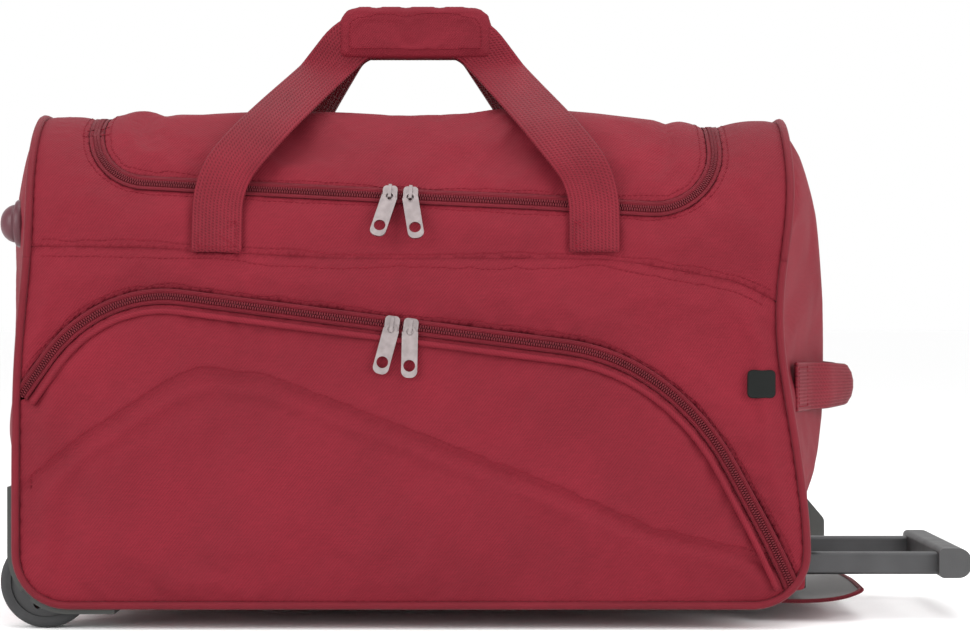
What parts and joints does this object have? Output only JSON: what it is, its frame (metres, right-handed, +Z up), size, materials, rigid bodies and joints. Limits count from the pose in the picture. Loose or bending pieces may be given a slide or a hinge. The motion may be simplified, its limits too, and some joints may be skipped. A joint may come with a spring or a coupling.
{
  "type": "rolling duffel bag",
  "caption": "Wine-red rolling duffel bag with an arched front pocket, wrapped carry handles, corner wheels and a pull-out trolley handle.",
  "frame": {"origin": "middle of the whole object's box on the ground plane under the wheels", "axes": "+X towards the trolley grip, -Y towards the front pocket, +Z up"},
  "size_m": [0.7487, 0.3179, 0.4845],
  "materials": {
    "shell_fabric": "fine ripstop-like twill, slight sheen",
    "piping": "round piping, satin",
    "lining": "thin woven lining",
    "zip_metal": "polished die cast",
    "zip_teeth": "coil zip, satin",
    "wrap_fabric": "padded twill",
    "webbing": "ribbed webbing",
    "tyre": "matte",
    "dark_plastic": "fine grained",
    "grip_plastic": "fine grained",
    "steel": "satin",
    "tube_aluminium": "dark anodised satin",
    "tab_rubber": "matte, plain"
  },
  "bodies": {
    "root": {"base_board": "dark_plastic", "bottom_panel": "shell_fabric", "front_handle_sewn_ends": "webbing", "front_panel": "shell_fabric", "front_piping": "piping", "front_yoke": "shell_fabric", "grab_handle": "webbing", "guide_bracket": "dark_plastic", "guide_tubes": "tube_aluminium", "left_end_panel": "shell_fabric", "left_top_piping": "piping", "left_top_strip": "shell_fabric", "lid_zip_bag_side": "zip_teeth", "pocket_backing": "lining", "pocket_lower_panel": "shell_fabric", "pocket_zip_bag_side": "zip_teeth", "rear_handle_sewn_ends": "webbing", "rear_panel": "shell_fabric", "rear_piping": "piping", "rear_yoke": "shell_fabric", "right_end_panel": "shell_fabric", "right_top_piping": "piping", "right_top_strip": "shell_fabric", "side_tab": "tab_rubber", "stand_feet": "dark_plastic", "trolley_collar": "dark_plastic", "trolley_hood": "dark_plastic", "wheel_front_axle": "steel", "wheel_front_housing": "dark_plastic", "wheel_rear_axle": "steel", "wheel_rear_housing": "dark_plastic"},
    "lid": {"lid_panel": "shell_fabric", "lid_zip_lid_side": "zip_teeth"},
    "lid_slider_left": {"lid_zip_left_slider": "zip_metal"},
    "lid_slider_right": {"lid_zip_right_slider": "zip_metal"},
    "lid_pull_left": {"lid_zip_left_pull": "zip_metal"},
    "lid_pull_right": {"lid_zip_right_pull": "zip_metal"},
    "pocket_flap": {"pocket_flap": "shell_fabric", "pocket_zip_flap_side": "zip_teeth"},
    "pocket_slider_left": {"pocket_zip_left_slider": "zip_metal"},
    "pocket_slider_right": {"pocket_zip_right_slider": "zip_metal"},
    "pocket_pull_left": {"pocket_zip_left_pull": "zip_metal"},
    "pocket_pull_right": {"pocket_zip_right_pull": "zip_metal"},
    "front_handle": {"front_handle_strap": "webbing", "front_handle_wrap": "wrap_fabric"},
    "rear_handle": {"rear_handle_strap": "webbing", "rear_handle_wrap": "wrap_fabric"},
    "trolley": {"trolley_tube_front": "tube_aluminium", "trolley_tube_rear": "tube_aluminium", "trolley_grip": "grip_plastic"},
    "release_button": {"release_button": "grip_plastic", "push_rods": "steel"},
    "lock_pin_front": {"lock_pin_front": "steel"},
    "lock_pin_rear": {"lock_pin_rear": "steel"},
    "trolley_flap": {"trolley_flap": "shell_fabric"},
    "wheel_front": {"wheel_front_tyre": "tyre", "wheel_front_hub": "dark_plastic"},
    "wheel_rear": {"wheel_rear_tyre": "tyre", "wheel_rear_hub": "dark_plastic"}
  },
  "joints": [
    {"name": "front_handle_fold", "type": "hinge", "parent": "root", "child": "front_handle", "pos_m": [-0.058, -0.1538, 0.3125], "axis": [1, 0, 0], "range_deg": [0, 150]},
    {"name": "rear_handle_fold", "type": "hinge", "parent": "root", "child": "rear_handle", "pos_m": [-0.058, 0.1538, 0.3125], "axis": [-1, 0, 0], "range_deg": [0, 150]},
    {"name": "lid_open", "type": "hinge", "parent": "root", "child": "lid", "pos_m": [-0.058, 0.095, 0.37476], "axis": [-1, 0, 0], "range_deg": [0, 75]},
    {"name": "pocket_flap_open", "type": "hinge", "parent": "root", "child": "pocket_flap", "pos_m": [-0.0625, -0.15, 0.1055], "axis": [0.969, 0, -0.2469], "range_deg": [0, 50]},
    {"name": "pocket_slider_left_run", "type": "slide", "parent": "pocket_flap", "child": "pocket_slider_left", "axis": [0.9919, 0, -0.127], "range_m": [-0.14, 0]},
    {"name": "pocket_slider_right_run", "type": "slide", "parent": "pocket_flap", "child": "pocket_slider_right", "axis": [0.9919, 0, -0.127], "range_m": [0, 0.105]},
    {"name": "lid_slider_left_run", "type": "slide", "parent": "lid", "child": "lid_slider_left", "axis": [0.9985, -0.0231, -0.0496], "range_m": [-0.085, 0]},
    {"name": "lid_pull_left_swing", "type": "hinge", "parent": "lid_slider_left", "child": "lid_pull_left", "pos_m": [-0.0735, -0.14522, 0.32858], "axis": [-0.9985, 0.0231, 0.0496], "range_deg": [0, 150]},
    {"name": "lid_slider_right_run", "type": "slide", "parent": "lid", "child": "lid_slider_right", "axis": [0.9985, -0.0227, -0.0496], "range_m": [0, 0.085]},
    {"name": "lid_pull_right_swing", "type": "hinge", "parent": "lid_slider_right", "child": "lid_pull_right", "pos_m": [-0.058, -0.14561, 0.32773], "axis": [-0.9985, 0.0227, 0.0496], "range_deg": [0, 150]},
    {"name": "pocket_pull_left_swing", "type": "hinge", "parent": "pocket_slider_left", "child": "pocket_pull_left", "pos_m": [-0.0715, -0.1596, 0.22913], "axis": [-0.9919, 0, 0.127], "range_deg": [0, 150]},
    {"name": "pocket_pull_right_swing", "type": "hinge", "parent": "pocket_slider_right", "child": "pocket_pull_right", "pos_m": [-0.0575, -0.1596, 0.22734], "axis": [-0.9919, 0, 0.127], "range_deg": [0, 150]},
    {"name": "trolley_slide", "type": "slide", "parent": "root", "child": "trolley", "axis": [1, 0, 0], "range_m": [-0.095, 0.33]},
    {"name": "release_button_press", "type": "slide", "parent": "trolley", "child": "release_button", "axis": [-1, 0, 0], "range_m": [0, 0.004], "stiffness_N_per_m": 600},
    {"name": "lock_pin_front_lift", "type": "slide", "parent": "trolley", "child": "lock_pin_front", "axis": [0, 0, 1], "range_m": [0, 0.002]},
    {"name": "lock_pin_rear_lift", "type": "slide", "parent": "trolley", "child": "lock_pin_rear", "axis": [0, 0, 1], "range_m": [0, 0.002]},
    {"name": "trolley_flap_fold", "type": "hinge", "parent": "root", "child": "trolley_flap", "pos_m": [0.217, 0, 0.0179], "axis": [0, -1, 0], "range_deg": [-13, 8]},
    {"name": "wheel_front_spin", "type": "hinge", "parent": "root", "child": "wheel_front", "pos_m": [-0.333, -0.128, 0.035], "axis": [0, 1, 0], "continuous": true},
    {"name": "wheel_rear_spin", "type": "hinge", "parent": "root", "child": "wheel_rear", "pos_m": [-0.333, 0.128, 0.035], "axis": [0, 1, 0], "continuous": true}
  ],
  "couplings": [
    {"joint": "rear_handle_fold", "follows": "front_handle_fold", "ratio": 1},
    {"joint": "lid_open", "follows": "front_handle_fold", "ratio": 0.5},
    {"joint": "lock_pin_front_lift", "follows": "release_button_press", "ratio": 0.5},
    {"joint": "lock_pin_rear_lift", "follows": "release_button_press", "ratio": 0.5}
  ]
}
